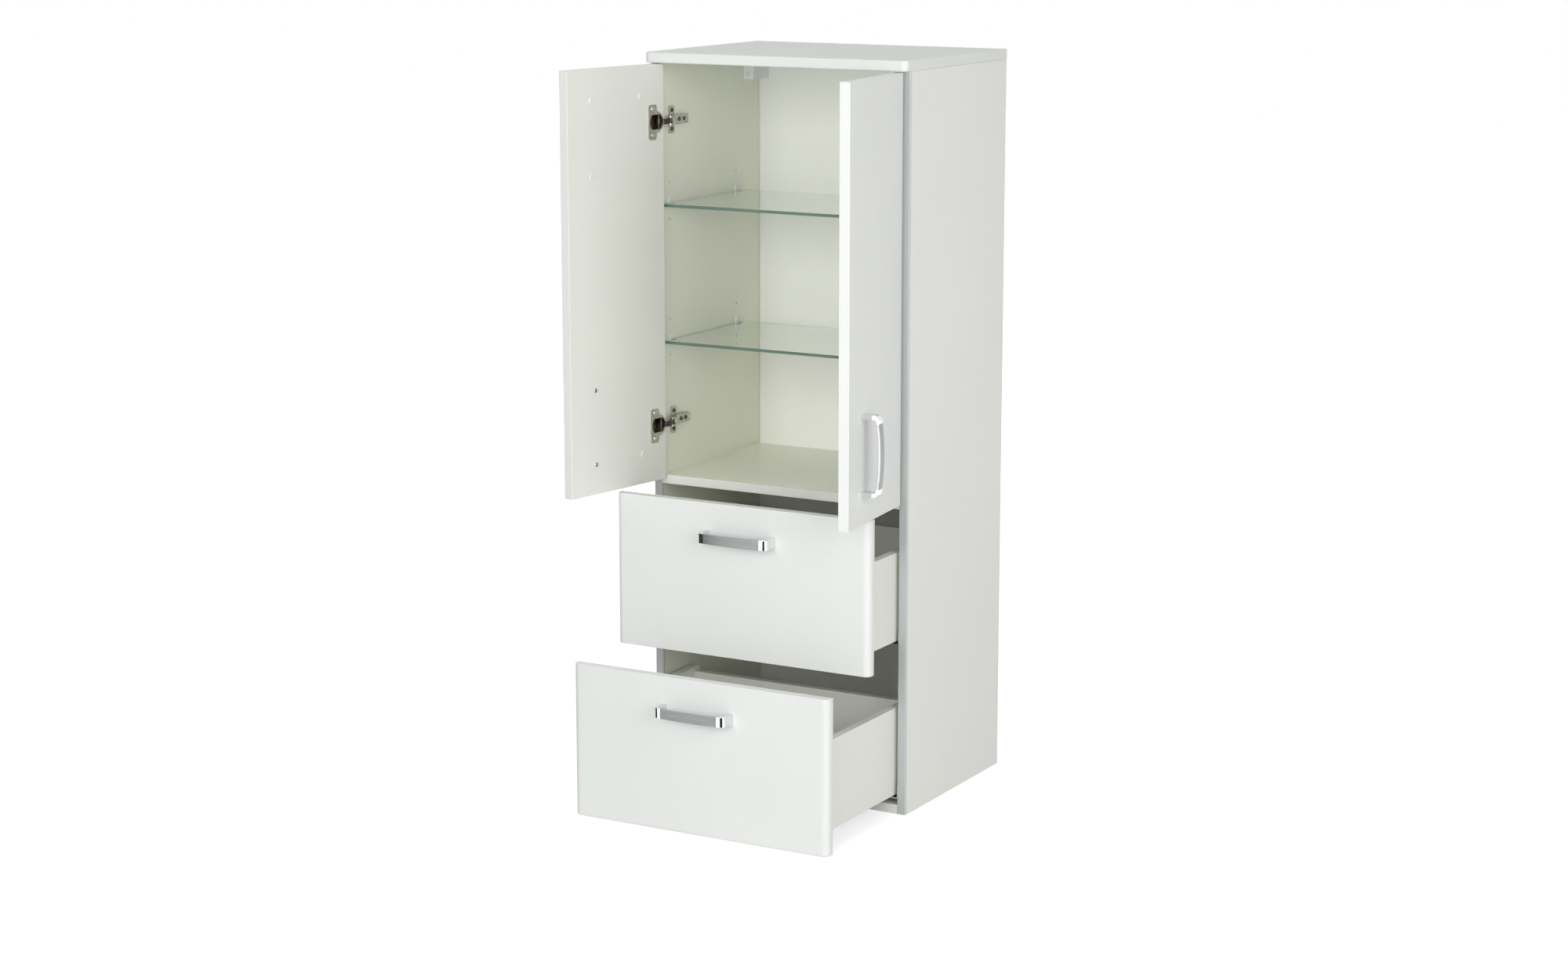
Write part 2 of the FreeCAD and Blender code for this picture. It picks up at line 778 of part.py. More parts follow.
def front_board(x0, x1, z0, z1, radii):
    """A front with its outer upright edges rounded by two radii, left and right, and all arrises eased."""
    panel = slab(x0, x1, outer_y, inner_y, z0, z1)
    middle = Vec((x0 + x1) / 2, (outer_y + inner_y) / 2, 0)
    for radius, hand in zip(radii, (-1, 1)):
        edges = edges_along(panel, UP, lambda m: hand * (m.x - middle.x) > 0 and m.y < middle.y)
        panel = panel.makeFillet(radius, edges)
    rims = edges_at_height(panel, z0) + edges_at_height(panel, z1)
    rims += edges_along(panel, UP, lambda m: abs(m.y - inner_y) < same_place)
    return panel.makeFillet(front_arris_radius, rims)


handle_door_x = -edge_x + door_width - door_handle_inset
handle_door_z = door_base + door_handle_rise + handle_hole_pitch / 2


def door_panel():
    panel = front_board(-edge_x, -edge_x + door_width, door_base, door_base + door_height,
                        (front_edge_radius, front_corner_radius))
    cuts = handle_holes(handle_door_x, handle_door_z, True) + [cap_hole(*place) for place in cap_places()]
    for z in hinge_heights:
        centre = door_point(cup_inset, 0) + UP * z
        floor = centre + FORWARD * (cup_depth + cup_play)
        cuts.append(rod(cup_radius + cup_play, centre + BACKWARD * overrun, floor))
        for place in cup_screw_places(z):
            cuts.append(screw_hole(place, FORWARD, cup_screw_radius, cup_screw_length))
    return panel.cut(cuts)


closed_door = {
    "door_panel": [door_panel()],
    "hinge_cups": [hinge_cup(z) for z in hinge_heights],
    "cup_screws": [screw(place, FORWARD, cup_screw_radius, cup_screw_length, screw_head_radius, screw_head)
                   for z in hinge_heights for place in cup_screw_places(z)],
    "door_caps": [cover_cap(*place) for place in cap_places()],
}
for kind, solids in handle_solids.items():
    closed_door["door_" + kind] = [set_on_front(s, handle_door_x, handle_door_z, True) for s in solids]
closed_links = {
    "hinge_links": [hinge_link(z) for z in hinge_heights],
    "hinge_pins": [pin for z in hinge_heights for pin in hinge_pins(z)],
}


def swung(shape, hand, with_door):
    """Moves a closed piece to its place on the open door of one hand, or on that door's links."""
    placed = shape.copy() if hand == "left" else mirrored(shape)
    sign = -1 if hand == "left" else 1
    cup_axis = Vec(-sign * cup_pivot.x, cup_pivot.y, 0)
    arm_axis = Vec(-sign * arm_pivot().x, arm_pivot().y, 0)
    if with_door:
        placed.rotate(cup_axis, UP, sign * door_turn[hand])
    placed.rotate(arm_axis, UP, sign * link_turn[hand])
    return placed


for hand in ("left", "right"):
    for kind, solids in closed_door.items():
        save(hand + "_" + kind, *[swung(s, hand, True) for s in solids])
    for kind, solids in closed_links.items():
        save(hand + "_" + kind, *[swung(s, hand, False) for s in solids])


# Drawers, built closed and then pulled out
def drawer_side(base):
    rear = inner_y + drawer_depth
    panel = slab(-drawer_outer_x, -drawer_inner_x, inner_y, rear, base, base + drawer_height)
    upper_edges = edges_along(panel, BACKWARD, lambda m: m.z > base + drawer_height / 2)
    panel = panel.makeFillet(drawer_edge_radius, upper_edges)
    floor = base + drawer_bottom_rise
    groove = slab(-drawer_inner_x - drawer_groove_depth, -drawer_inner_x + overrun,
                  inner_y - overrun, rear + overrun, floor, floor + drawer_bottom_thickness + groove_play)
    return panel.cut(groove)


def drawer_back(base):
    rear = inner_y + drawer_depth - drawer_back_inset
    top = base + drawer_height - drawer_back_drop
    floor = base + drawer_bottom_rise + drawer_bottom_thickness
    panel = slab(-drawer_inner_x, drawer_inner_x, rear - drawer_board, rear, floor, top)
    return panel.makeFillet(drawer_edge_radius, edges_along(panel, ACROSS, lambda m: m.z > (floor + top) / 2))


def drawer_bottom(base):
    half = drawer_inner_x + drawer_groove_depth - groove_play
    floor = base + drawer_bottom_rise
    return slab(-half, half, inner_y, inner_y + drawer_depth, floor, floor + drawer_bottom_thickness)


def drawer_front(level):
    base = front_base[level]
    top = base + drawer_front_height
    panel = front_board(-edge_x, edge_x, base, top, (front_edge_radius, front_edge_radius))
    return panel.cut(handle_holes(0, top - drawer_handle_drop, False))


rail_outer_x = drawer_inner_x - rail_offset
rail_inner_x = rail_outer_x - rail_width
rail_guide_x = (rail_outer_x + rail_inner_x) / 2


def cabinet_rail(base):
    """A bent sheet: web on the side, shelf under the drawer and an upright guide."""
    low = base - rail_drop
    shelf_top = low + rail_sheet
    web = slab(-wall_x, -wall_x + rail_sheet, rail_y, rail_y + rail_length, low, low + rail_web_height)
    shelf = slab(-wall_x, -rail_inner_x, rail_y, rail_y + rail_length, low, shelf_top)
    guide = slab(-rail_guide_x - rail_sheet / 2, -rail_guide_x + rail_sheet / 2, rail_y, rail_y + rail_length,
                 shelf_top, shelf_top + rail_guide_height)
    return web.fuse([shelf, guide]).removeSplitter()


def drawer_rail(base):
    """A channel under the drawer's bottom, open downwards."""
    top = base + drawer_bottom_rise
    low = base + rail_leg_lift
    rear = rail_y + drawer_rail_length
    body = slab(-rail_outer_x, -rail_inner_x, rail_y, rear, low, top)
    room = slab(-rail_outer_x + rail_sheet, -rail_inner_x - rail_sheet, rail_y - overrun, rear + overrun,
                low - overrun, top - rail_sheet)
    return body.cut(room)


def carriage(base):
    """A cage with four rollers that runs between the two rails, at half the drawer's travel."""
    shelf_top = base - rail_drop + rail_sheet
    ceiling = base + drawer_bottom_rise - rail_sheet
    axle_z = (shelf_top + ceiling) / 2
    radius = (ceiling - shelf_top) / 2 - roller_play
    middle = front_y + carriage_centre_inset
    x0 = -rail_outer_x + rail_sheet + carriage_play
    x1 = -rail_inner_x - rail_sheet - carriage_play
    low = axle_z - carriage_height / 2
    half = carriage_length / 2
    cage = slab(x0, x1, middle - half, middle + half, low, low + carriage_height)
    slot_half = rail_sheet / 2 + carriage_play
    slot_top = shelf_top + rail_guide_height + carriage_play
    cage = cage.cut(slab(-rail_guide_x - slot_half, -rail_guide_x + slot_half,
                         middle - half - overrun, middle + half + overrun, low - overrun, slot_top))
    rollers = []
    for start, end in ((x0, -rail_guide_x - slot_half), (-rail_guide_x + slot_half, x1)):
        centre = (start + end) / 2
        for side in (-1, 1):
            y = middle + side * roller_pitch / 2
            left = Vec(centre - roller_width / 2, y, axle_z)
            right = Vec(centre + roller_width / 2, y, axle_z)
            rollers.append(rod(radius, left, right))
            play = ACROSS * roller_play
            cage = cage.cut(rod(radius + roller_play, left - play, right + play))
    return [cage] + rollers


cabinet_rails = []
for level, out in drawer_out.items():
    base = front_base[level] + drawer_rise
    rail = cabinet_rail(base)
    for place in rail_screw_places(level):
        rail = rail.cut(screw_hole(place, ACROSS * -1, board_screw_radius, rail_sheet))
    cabinet_rails.append(rail)
    side_board = drawer_side(base)
    pieces = {
        "drawer_front": [drawer_front(level)],
        "drawer_left_side": [side_board],
        "drawer_right_side": [mirrored(side_board)],
        "drawer_back": [drawer_back(base)],
        "drawer_bottom": [drawer_bottom(base)],
        "drawer_rails": both_sides([drawer_rail(base)]),
    }
    handle_z = front_base[level] + drawer_front_height - drawer_handle_drop
    for kind, solids in handle_solids.items():
        pieces["drawer_" + kind] = [set_on_front(s, 0, handle_z, False) for s in solids]
    for kind, solids in pieces.items():
        save(level + "_" + kind, *[moved(s, 0, -out, 0) for s in solids])
    save(level + "_runner_carriages", *[moved(s, 0, -out / 2, 0) for s in both_sides(carriage(base))])
save("cabinet_rails", *both_sides(cabinet_rails))
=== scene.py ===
import json
import math

import bpy
from mathutils import Euler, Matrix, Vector


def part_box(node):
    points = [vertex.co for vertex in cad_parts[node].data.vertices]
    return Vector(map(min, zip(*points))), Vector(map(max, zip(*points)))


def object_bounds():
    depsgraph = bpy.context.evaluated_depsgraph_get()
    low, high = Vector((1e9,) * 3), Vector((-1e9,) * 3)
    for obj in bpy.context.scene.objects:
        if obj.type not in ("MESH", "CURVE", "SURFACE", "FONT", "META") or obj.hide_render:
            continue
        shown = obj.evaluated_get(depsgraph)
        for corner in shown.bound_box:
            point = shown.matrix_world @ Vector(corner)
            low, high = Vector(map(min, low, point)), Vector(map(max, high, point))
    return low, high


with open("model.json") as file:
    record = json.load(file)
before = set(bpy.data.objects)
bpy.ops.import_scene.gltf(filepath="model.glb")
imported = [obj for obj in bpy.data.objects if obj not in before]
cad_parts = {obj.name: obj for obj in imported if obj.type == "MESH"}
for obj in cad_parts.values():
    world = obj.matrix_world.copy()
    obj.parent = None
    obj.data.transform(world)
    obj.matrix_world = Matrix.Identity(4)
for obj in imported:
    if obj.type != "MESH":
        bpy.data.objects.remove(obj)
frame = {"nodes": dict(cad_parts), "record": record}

cad_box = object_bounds()
nodes = frame["nodes"]
scene = bpy.context.scene

# Axes and directions of the object
X_AXIS, Z_AXIS = 0, 2
RIGHT, LEFT = (1, 0, 0), (-1, 0, 0)
BACK, FRONT = (0, 1, 0), (0, -1, 0)
UP = (0, 0, 1)

# Values between which a noise field mostly lies
NOISE_LOW, NOISE_HIGH = 0.3, 0.7


# Node-tree helpers
class Tree:
    """A material under construction: adds nodes and links them by name."""

    def __init__(self, name):
        self.material = bpy.data.materials.new(name)
        self.material.use_nodes = True
        self.tree = self.material.node_tree
        self.tree.nodes.clear()
        self.output = self.add("ShaderNodeOutputMaterial")
        places = self.add("ShaderNodeTexCoord")
        self.coords = places.outputs["Object"]
        self.normal = places.outputs["Normal"]

    def add(self, kind, **values):
        node = self.tree.nodes.new(kind)
        for key, value in values.items():
            setattr(node, key, value)
        return node

    def link(self, source, target):
        self.tree.links.new(source, target)

    def noise(self, stretch, detail, rough=0.55):
        """A noise field; stretch gives cycles per metre, as one number or along X, Y and Z."""
        if isinstance(stretch, float):
            stretch = (stretch, stretch, stretch)
        mapping = self.add("ShaderNodeMapping")
        mapping.inputs["Scale"].default_value = stretch
        self.link(self.coords, mapping.inputs["Vector"])
        field = self.add("ShaderNodeTexNoise")
        field.inputs["Scale"].default_value = 1.0
        field.inputs["Detail"].default_value = detail
        field.inputs["Roughness"].default_value = rough
        self.link(mapping.outputs["Vector"], field.inputs["Vector"])
        return field.outputs["Fac"]

    def between(self, field, low, high, start=NOISE_LOW, end=NOISE_HIGH):
        """Maps a field to a number between low and high."""
        node = self.add("ShaderNodeMapRange")
        node.inputs["From Min"].default_value = start
        node.inputs["From Max"].default_value = end
        node.inputs["To Min"].default_value = low
        node.inputs["To Max"].default_value = high
        self.link(field, node.inputs["Value"])
        return node.outputs["Result"]

    def tint(self, field, colors, start=NOISE_LOW, end=NOISE_HIGH):
        """Maps a field to a colour between two colours."""
        ramp = self.add("ShaderNodeValToRGB")
        for element, place, color in zip(ramp.color_ramp.elements, (start, end), colors):
            element.position = place
            element.color = (*color, 1.0)
        self.link(field, ramp.inputs["Fac"])
        return ramp.outputs["Color"]

    def blend(self, share, first, second):
        """Mixes two colours, a share of 1 being all of the second."""
        node = self.add("ShaderNodeMixRGB")
        self.link(share, node.inputs["Fac"])
        self.link(first, node.inputs["Color1"])
        self.link(second, node.inputs["Color2"])
        return node.outputs["Color"]

    def calculate(self, operation, first, second=None):
        """One operation on a field, its second value being a field or a number."""
        node = self.add("ShaderNodeMath", operation=operation)
        self.link(first, node.inputs[0])
        if isinstance(second, float):
            node.inputs[1].default_value = second
        elif second is not None:
            self.link(second, node.inputs[1])
        return node.outputs["Value"]

    def along(self, vector, direction):
        """How far a vector reaches along a direction."""
        node = self.add("ShaderNodeVectorMath", operation="DOT_PRODUCT")
        self.link(vector, node.inputs[0])
        node.inputs[1].default_value = direction
        return node.outputs["Value"]

    def level(self):
        """1 on faces that look up or down, 0 on faces that look sideways."""
        world_normal = self.add("ShaderNodeNewGeometry").outputs["Normal"]
        return self.calculate("ABSOLUTE", self.along(world_normal, UP))

    def facing(self, direction):
        """1 on faces that look along a direction of the piece, or against it, 0 on the others."""
        size = self.calculate("ABSOLUTE", self.along(self.normal, direction))
        return self.between(size, low=0.0, high=1.0, start=0.6, end=0.9)

    def deeper_than(self, normal, height):
        """1 behind a plane, given by its normal and its height along it, and 0 in front of it."""
        return self.calculate("LESS_THAN", self.along(self.coords, normal), height)

    def nearer_than(self, limit):
        """1 where X lies within a limit of the cabinet's middle, 0 beyond it."""
        offset = self.calculate("ABSOLUTE", self.along(self.coords, RIGHT))
        return self.calculate("LESS_THAN", offset, limit)

    def bump(self, field, height, previous=None):
        """Raises the surface by a field, height in metres."""
        node = self.add("ShaderNodeBump")
        node.inputs["Strength"].default_value = 1.0
        node.inputs["Distance"].default_value = height
        self.link(field, node.inputs["Height"])
        if previous is not None:
            self.link(previous, node.inputs["Normal"])
        return node.outputs["Normal"]

    def surface(self, color, roughness, normal=None, **values):
        """A Principled surface; values are constant sockets, with _ for a space."""
        self.shader = self.add("ShaderNodeBsdfPrincipled")
        self.link(color, self.shader.inputs["Base Color"])
        self.link(roughness, self.shader.inputs["Roughness"])
        if normal is not None:
            self.link(normal, self.shader.inputs["Normal"])
        for key, value in values.items():
            self.shader.inputs[key.replace("_", " ")].default_value = value
        self.link(self.shader.outputs["BSDF"], self.output.inputs["Surface"])
        return self.material


def srgb(color):
    """A colour given in display values from 0 to 255, as linear light by the sRGB curve."""
    shares = [value / 255 for value in color]
    return tuple(v / 12.92 if v < 0.0404 else ((v + 0.055) / 1.055) ** 2.4 for v in shares)


def shades(dark, light):
    """Two display colours as linear light, between which a finish is clouded."""
    return srgb(dark), srgb(light)


def flat_face(node, toward):
    """The plane of a node's largest flat face: its normal, turned to one side, and its height."""
    mesh = nodes[node].data
    areas = {}
    for face in mesh.polygons:
        key = tuple(round(v, 3) for v in face.normal)
        areas[key] = areas.get(key, 0.0) + face.area
    normal = Vector(max(areas, key=areas.get)).normalized()
    if normal.dot(Vector(toward)) < 0.0:
        normal.negate()
    return normal, max(normal.dot(corner.co) for corner in mesh.vertices)


# Places that part one finish from another, here painted light and painted shade from the plain finish, in
# metres
FRONT_EDGE = 0.002
FACE_SKIN = 0.0005
PAINTED_SHADE_RIM_DEPTH = 0.0016
PAINTED_SHADE_BOWL_DEPTH = 0.005
side_low, side_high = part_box("left_side_panel")
inner_half_width = abs(side_low.x + side_high.x) / 2
inner_depth = -side_low.y - FRONT_EDGE
back_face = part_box("back_panel")[0].y

# Colours that finishes share
FRONT_WHITE = shades((227, 229, 226), (230, 232, 229))
# Painted light: a brighter, yellower white for the carcass's inner faces, making up for the shade they lie
# in
INSIDE_PAINTED_LIGHT = shades((238, 240, 224), (241, 243, 227))
# Painted light: a warmer white on the doors' inner faces
DOOR_INSIDE_PAINTED_TINT = shades((228, 229, 222), (231, 232, 225))
SATIN = shades((138, 141, 141), (149, 152, 151))
SATIN_FLANK = shades((184, 186, 188), (196, 198, 199))
CUP_FLANGE = shades((196, 193, 187), (216, 213, 207))
# Painted shade: darker nickel below a cup's rim and in the depth of its bowl
CUP_RIM_PAINTED_SHADE = shades((160, 152, 138), (174, 166, 152))
CUP_BOWL_PAINTED_SHADE = shades((100, 92, 80), (114, 106, 92))
GLASS_EDGE_AND_FACE = shades((128, 168, 148), (251, 254, 252))
DOWEL_WOOD = ((0.42, 0.25, 0.12), (0.58, 0.38, 0.2))


# Materials
def lacquer(name, colors, gloss, peel, shine, inside=None, faced=None):
    """White lacquered or faced board: faint cloudiness, orange peel and a soft gloss; painted light
    brightens and yellows the carcass's inner faces, and tints a door's inner face warmer.
    """
    t = Tree(name)
    cloud = t.noise((5.0, 5.0, 3.0), detail=4.0)
    color = t.tint(cloud, colors)
    # Painted light: the board's inner faces of the carcass take a brighter, yellower white
    if inside is not None:
        within = t.nearer_than(inner_half_width)
        for plane in ((FRONT, inner_depth), (BACK, back_face)):
            within = t.calculate("MULTIPLY", within, t.deeper_than(*plane))
        color = t.blend(within, color, t.tint(cloud, inside))
    # Painted light: a door's inner face takes a warmer white
    if faced is not None:
        normal, height = flat_face(*faced)
        painted_tint_face = t.deeper_than(-normal, FACE_SKIN - height)
        color = t.blend(painted_tint_face, color, t.tint(cloud, DOOR_INSIDE_PAINTED_TINT))
    sheen = t.between(t.noise((60.0, 60.0, 40.0), detail=4.0), low=gloss - 0.03, high=gloss + 0.04)
    normal = t.bump(t.noise(420.0, detail=2.0), height=peel)
    normal = t.bump(t.noise(2600.0, detail=2.0), height=peel * 0.3, previous=normal)
    return t.surface(color, sheen, normal, IOR=1.5, Specular_IOR_Level=shine)


def moulded(name, colors, gloss):
    """Moulded plastic: fine spark-eroded grain and slight flow marks."""
    t = Tree(name)
    color = t.tint(t.noise(40.0, detail=3.0), colors)
    sheen = t.between(t.noise(300.0, detail=3.0), low=gloss - 0.06, high=gloss + 0.06)
    normal = t.bump(t.noise(3200.0, detail=2.0), height=0.00002)
    return t.surface(color, sheen, normal, IOR=1.48)


def brushed(name, colors, gloss, axis, metal=1.0, polished=None):
    """Fine scratches along one axis, on metal or silver paint; polished is the way bright flanks face."""
    t = Tree(name)
    fine, broad = [3000.0] * 3, [500.0] * 3
    fine[axis], broad[axis] = 14.0, 6.0
    scratch = t.noise(fine, detail=4.0, rough=0.6)
    color = t.tint(t.noise(broad, detail=3.0), colors)
    sheen = t.between(scratch, low=gloss - 0.08, high=gloss + 0.08)
    if polished is not None:
        flank = t.facing(polished)
        color = t.blend(flank, color, t.tint(scratch, SATIN_FLANK))
        sheen = t.calculate("MULTIPLY", sheen, t.between(flank, low=1.0, high=0.3, start=0.0, end=1.0))
    return t.surface(color, sheen, t.bump(scratch, height=0.000006), Metallic=metal)


def plated(name, colors, gloss, grain=70.0, relief=0.00001):
    """Plated or polished metal: faint clouding and handling marks."""
    t = Tree(name)
    color = t.tint(t.noise(grain, detail=4.0), colors)
    sheen = t.between(t.noise(grain * 5, detail=4.0), low=gloss * 0.6, high=gloss * 1.4)
    normal = t.bump(t.noise(grain * 12, detail=2.0), height=relief)
    return t.surface(color, sheen, normal, Metallic=1.0)


def cup_metal_painted_shade(name, node, toward):
    """Nickel on a hinge cup's flange, with painted shade below its rim and darker painted shade in the depth
    of its bowl.
    """
    t = Tree(name)
    face, height = flat_face(node, toward)
    clouds = t.noise(70.0, detail=4.0)
    color = t.tint(clouds, CUP_FLANGE)
    # Painted shade: the nickel darkens below the rim, and darker still deep in the bowl
    for depth, colors in ((PAINTED_SHADE_RIM_DEPTH, CUP_RIM_PAINTED_SHADE), (PAINTED_SHADE_BOWL_DEPTH, CUP_BOWL_PAINTED_SHADE)):
        color = t.blend(t.deeper_than(face, height - depth), color, t.tint(clouds, colors))
    sheen = t.between(t.noise(350.0, detail=4.0), low=0.22, high=0.42)
    normal = t.bump(t.noise(840.0, detail=2.0), height=0.00001)
    return t.surface(color, sheen, normal, Metallic=1.0)


def clear_glass(name):
    """Float glass: clear on its faces, ground and green along its edges."""
    t = Tree(name)
    level = t.level()
    turn = {"start": 0.55, "end": 0.8}
    color = t.tint(level, GLASS_EDGE_AND_FACE, **turn)
    smears = t.between(t.noise(30.0, detail=3.0), low=0.0, high=0.012)
    sheen = t.calculate("ADD", t.between(level, low=0.3, high=0.0, **turn), smears)
    material = t.surface(color, sheen, IOR=1.5)
    t.link(t.between(level, low=0.6, high=1.0, **turn), t.shader.inputs["Transmission Weight"])
    volume = t.add("ShaderNodeVolumeAbsorption")
    volume.inputs["Color"].default_value = (0.6, 0.9, 0.75, 1.0)
    volume.inputs["Density"].default_value = 1.2
    t.link(volume.outputs["Volume"], t.output.inputs["Volume"])
    return material


def beech(name):
    """Bare dowel wood with its grain along the rods."""
    t = Tree(name)
    grain = t.noise((60.0, 900.0, 900.0), detail=5.0, rough=0.6)
    sheen = t.between(grain, low=0.55, high=0.75)
    return t.surface(t.tint(grain, DOWEL_WOOD), sheen, t.bump(grain, height=0.00004), IOR=1.45)


slots = {}


def finish(kind, name, *values, **options):
    """Makes a material and keeps it under its name."""
    slots[name] = kind(name, *values, **options)


front = {"colors": FRONT_WHITE, "gloss": 0.4, "peel": 0.000003, "shine": 0.3}
finish(lacquer, "white_front", **front)
# Painted light brightens and yellows the white board's inner faces of the carcass
finish(lacquer, "white_board", shades((230, 231, 225), (233, 234, 228)), gloss=0.36, peel=0.00001, shine=0.5,
       inside=INSIDE_PAINTED_LIGHT)
finish(lacquer, "white_top", shades((226, 229, 225), (229, 232, 228)), gloss=0.45, peel=0.00001, shine=0.2)
# White-faced hardboard whose white is raised as painted light, making up for the shade in the carcass
finish(lacquer, "back_board", shades((244, 245, 239), (247, 248, 242)), gloss=0.45, peel=0.00002, shine=0.5)
finish(lacquer, "drawer_board", shades((231, 232, 225), (234, 235, 228)), gloss=0.4, peel=0.00001, shine=0.5)
finish(beech, "dowel_wood")
finish(clear_glass, "clear_glass")
finish(moulded, "clear_support", shades((238, 240, 236), (243, 245, 241)), gloss=0.3)
finish(moulded, "hanger_plastic", shades((238, 239, 237), (243, 244, 242)), gloss=0.45)
finish(moulded, "white_plastic", shades((226, 228, 224), (231, 233, 229)), gloss=0.4)
finish(moulded, "runner_plastic", shades((150, 152, 154), (160, 162, 164)), gloss=0.45)
# Painted light: zinc lightened so the hanger screws show no dark reflections
finish(plated, "pale_zinc", shades((226, 227, 226), (236, 237, 236)), gloss=0.6)
finish(plated, "zinc_steel", shades((184, 187, 190), (204, 206, 206)), gloss=0.32)
finish(plated, "nickel_steel", shades((204, 201, 194), (224, 221, 214)), gloss=0.34)
# Painted shade: the same nickel as nickel_steel, made darker, for the hinge arms and plates
finish(plated, "nickel_arm", shades((168, 165, 158), (194, 191, 184)), gloss=0.26)
finish(plated, "dark_steel", shades((84, 80, 76), (104, 100, 96)), gloss=0.34)
finish(plated, "bright_chrome", shades((222, 224, 226), (232, 234, 235)), gloss=0.07, grain=30.0,
       relief=0.000002)
finish(brushed, "edge_metal", shades((185, 189, 188), (191, 195, 194)), gloss=0.6, axis=Z_AXIS, metal=0.12)
finish(brushed, "satin_metal_upright", SATIN, gloss=0.3, axis=Z_AXIS, polished=BACK)
finish(brushed, "satin_metal_level", SATIN, gloss=0.3, axis=X_AXIS, polished=UP)

# Nodes whose finish differs from the one their record names
finishes = {
    "top_panel": "white_top",
    # Hanger screws take the lightened zinc, as painted light
    "hanger_screws": "pale_zinc",
    # Hinge plates and arms take the darker nickel, as painted shade
    "hinge_plates": "nickel_arm",
    "hinge_arms": "nickel_arm",
    "fixing_screws": "dark_steel",
}
for hand, inward in (("left", RIGHT), ("right", LEFT)):
    door, cups = hand + "_door_panel", hand + "_hinge_cups"
    finishes[door] = hand + "_door_white"
    finishes[cups] = hand + "_cup_metal"
    # Dark steel on the hinge pins, partly painted shade that darkens the cups' mouths
    finishes[hand + "_hinge_pins"] = "dark_steel"
    # Each door's lacquer, with a warm painted-light tint on its inner face
    finish(lacquer, finishes[door], **front, faced=(door, inward))
    # Each cup's nickel, with painted shade in its bowl
    finish(cup_metal_painted_shade, finishes[cups], cups, inward)
for part in frame["record"]["subparts"]:
    node = part["node"]
    slot = finishes.get(node, part["material_slot"])
    if slot == "satin_metal":
        slot += "_upright" if "door" in node else "_level"
    mesh = nodes[node].data
    mesh.materials.clear()
    mesh.materials.append(slots[slot])


# Floor, world and lamps
def seen_directly(tree):
    """1 for camera, glossy and transmitted rays, 0 for the rays that carry the light about."""
    path = tree.nodes.new("ShaderNodeLightPath")
    seen = path.outputs["Is Camera Ray"]
    for kind in ("Is Glossy Ray", "Is Transmission Ray"):
        either = tree.nodes.new("ShaderNodeMath")
        either.operation = "MAXIMUM"
        tree.links.new(seen, either.inputs[0])
        tree.links.new(path.outputs[kind], either.inputs[1])
        seen = either.outputs["Value"]
    return seen


def stage_panel(name, centre, across, up, material):
    """A flat panel of the set, centred on a point and spanned by two half lengths."""
    centre, across, up = Vector(centre), Vector(across), Vector(up)
    corners = [centre - across - up, centre + across - up, centre + across + up, centre - across + up]
    mesh = bpy.data.meshes.new(name)
    mesh.from_pydata(corners, [], [(0, 1, 2, 3)])
    mesh.materials.append(material)
    panel = bpy.data.objects.new(name, mesh)
    scene.collection.objects.link(panel)
    return panel


def floor(reach, drop, near_lift, far_lift):
    """A pale floor, lifted to white around the shadow for the rays that see it directly."""
    t = Tree("studio_floor")
    color = t.tint(t.noise(0.7, detail=2.0), shades((212, 212, 212), (216, 216, 216)))
    t.surface(color, t.between(t.noise(3.0, detail=2.0), low=0.75, high=0.85))
    distance = t.add("ShaderNodeVectorMath", operation="LENGTH")
    t.link(t.coords, distance.inputs[0])
    lift = t.between(distance.outputs["Value"], low=near_lift, high=far_lift, start=0.5, end=3.0)
    glow = t.add("ShaderNodeEmission")
    t.link(t.calculate("MULTIPLY", lift, seen_directly(t.tree)), glow.inputs["Strength"])
    both = t.add("ShaderNodeAddShader")
    t.link(t.shader.outputs["BSDF"], both.inputs[0])
    t.link(glow.outputs["Emission"], both.inputs[1])
    t.link(both.outputs["Shader"], t.output.inputs["Surface"])
    stage_panel("studio_floor", (0, 0, cad_box[0].z - drop), (reach, 0, 0), (0, reach, 0), t.material)


def sky(strength):
    """White for the rays that see the world directly, and a plain fill for the light."""
    world = bpy.data.worlds.new("studio")
    world.use_nodes = True
    tree = world.node_tree
    tree.nodes.clear()
    level = tree.nodes.new("ShaderNodeMapRange")
    level.inputs["To Min"].default_value = strength
    level.inputs["To Max"].default_value = 1.0
    tree.links.new(seen_directly(tree), level.inputs["Value"])
    light = tree.nodes.new("ShaderNodeBackground")
    light.inputs["Color"].default_value = (1.0, 1.0, 1.0, 1.0)
    tree.links.new(level.outputs["Result"], light.inputs["Strength"])
    output = tree.nodes.new("ShaderNodeOutputWorld")
    tree.links.new(light.outputs["Background"], output.inputs["Surface"])
    scene.world = world


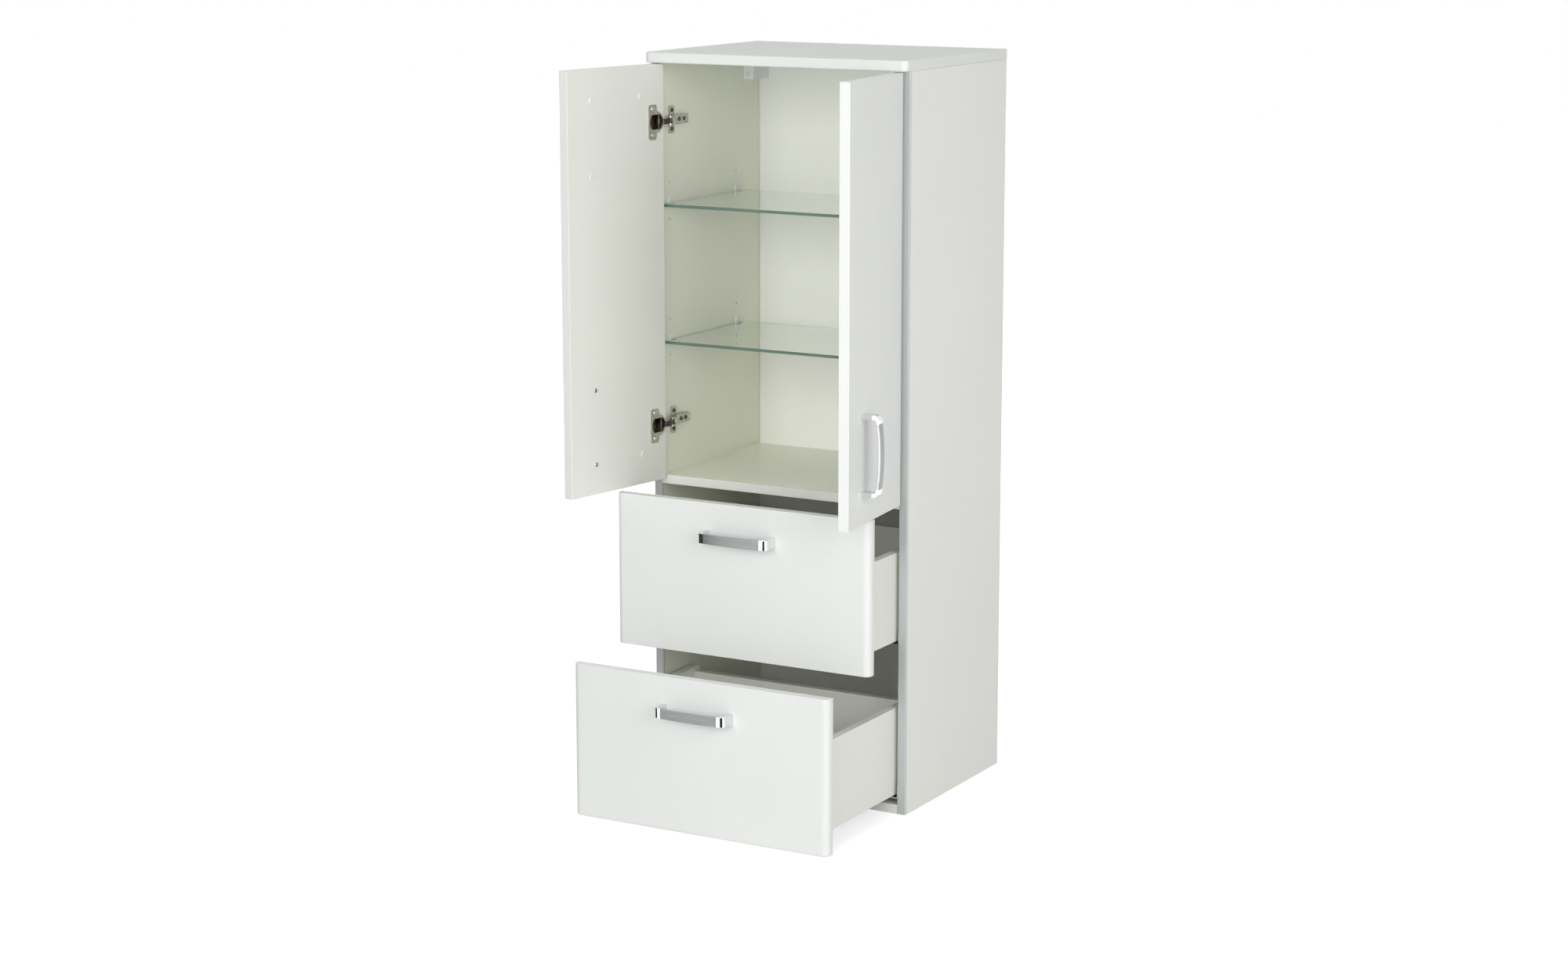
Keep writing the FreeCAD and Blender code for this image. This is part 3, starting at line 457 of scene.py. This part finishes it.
def softbox(name, place, aim, width, height, watts, mirrored=True):
    """A soft lamp at a place, aimed at a point, that polished surfaces mirror or not."""
    lamp = bpy.data.lights.new(name, "AREA")
    lamp.shape = "RECTANGLE"
    lamp.size = width
    lamp.size_y = height
    lamp.energy = watts
    holder = bpy.data.objects.new(name, lamp)
    holder.visible_glossy = mirrored
    holder.location = place
    holder.rotation_euler = (Vector(aim) - Vector(place)).to_track_quat("-Z", "Y").to_euler()
    scene.collection.objects.link(holder)


def dark_card(name, x, y, width, height):
    """A dark card that stands facing the drawers and that only polished metal shows."""
    t = Tree(name)
    color = t.tint(t.noise(2.0, detail=2.0), shades((26, 26, 27), (34, 34, 35)))
    t.surface(color, t.between(t.noise(9.0, detail=2.0), low=0.8, high=0.9))
    front_low, front_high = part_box("lower_drawer_front")
    away = Vector((x, y, 0.0)) - (front_low + front_high) / 2
    across = Vector((-away.y, away.x, 0.0)).normalized()
    centre = (x, y, cad_box[0].z + height / 2)
    card = stage_panel(name, centre, across * width / 2, (0, 0, height / 2), t.material)
    card.visible_camera = False
    card.visible_diffuse = False
    card.visible_transmission = False
    card.visible_shadow = False


MIDDLE = (0.0, 0.0, 0.7)
TOP = (0.0, -0.2, 1.0)
floor(reach=14.0, drop=0.0005, near_lift=0.6, far_lift=0.95)
sky(strength=0.24)
softbox("key_softbox", (0.6, -4.8, 1.7), MIDDLE, width=3.0, height=2.6, watts=106.0)
softbox("right_softbox", (3.2, -1.9, 1.6), MIDDLE, width=2.8, height=2.6, watts=69.0)
softbox("top_softbox", (0.0, -0.6, 4.2), TOP, width=2.4, height=2.4, watts=25.0)
softbox("rear_softbox", (-3.0, 2.4, 1.6), MIDDLE, width=2.8, height=2.6, watts=60.0, mirrored=False)
dark_card("left_dark_card", x=-0.6, y=-0.62, width=0.5, height=0.55)
dark_card("right_dark_card", x=0.26, y=-1.0, width=0.57, height=0.42)

# Camera at the photograph's angle
LOOKING_DOWN, TURNED_LEFT = 11.198, 29.352
camera_data = bpy.data.cameras.new("camera")
camera_data.sensor_width = 36.0
camera_data.lens = 72.0
camera_data.clip_end = 60.0
camera = bpy.data.objects.new("camera", camera_data)
camera.location = (2.5998, -4.7847, 1.6102)
camera.rotation_euler = Euler((math.radians(90.0 - LOOKING_DOWN), 0.0, math.radians(TURNED_LEFT)), "XYZ")
scene.collection.objects.link(camera)
scene.camera = camera
scene.view_settings.view_transform = "Standard"
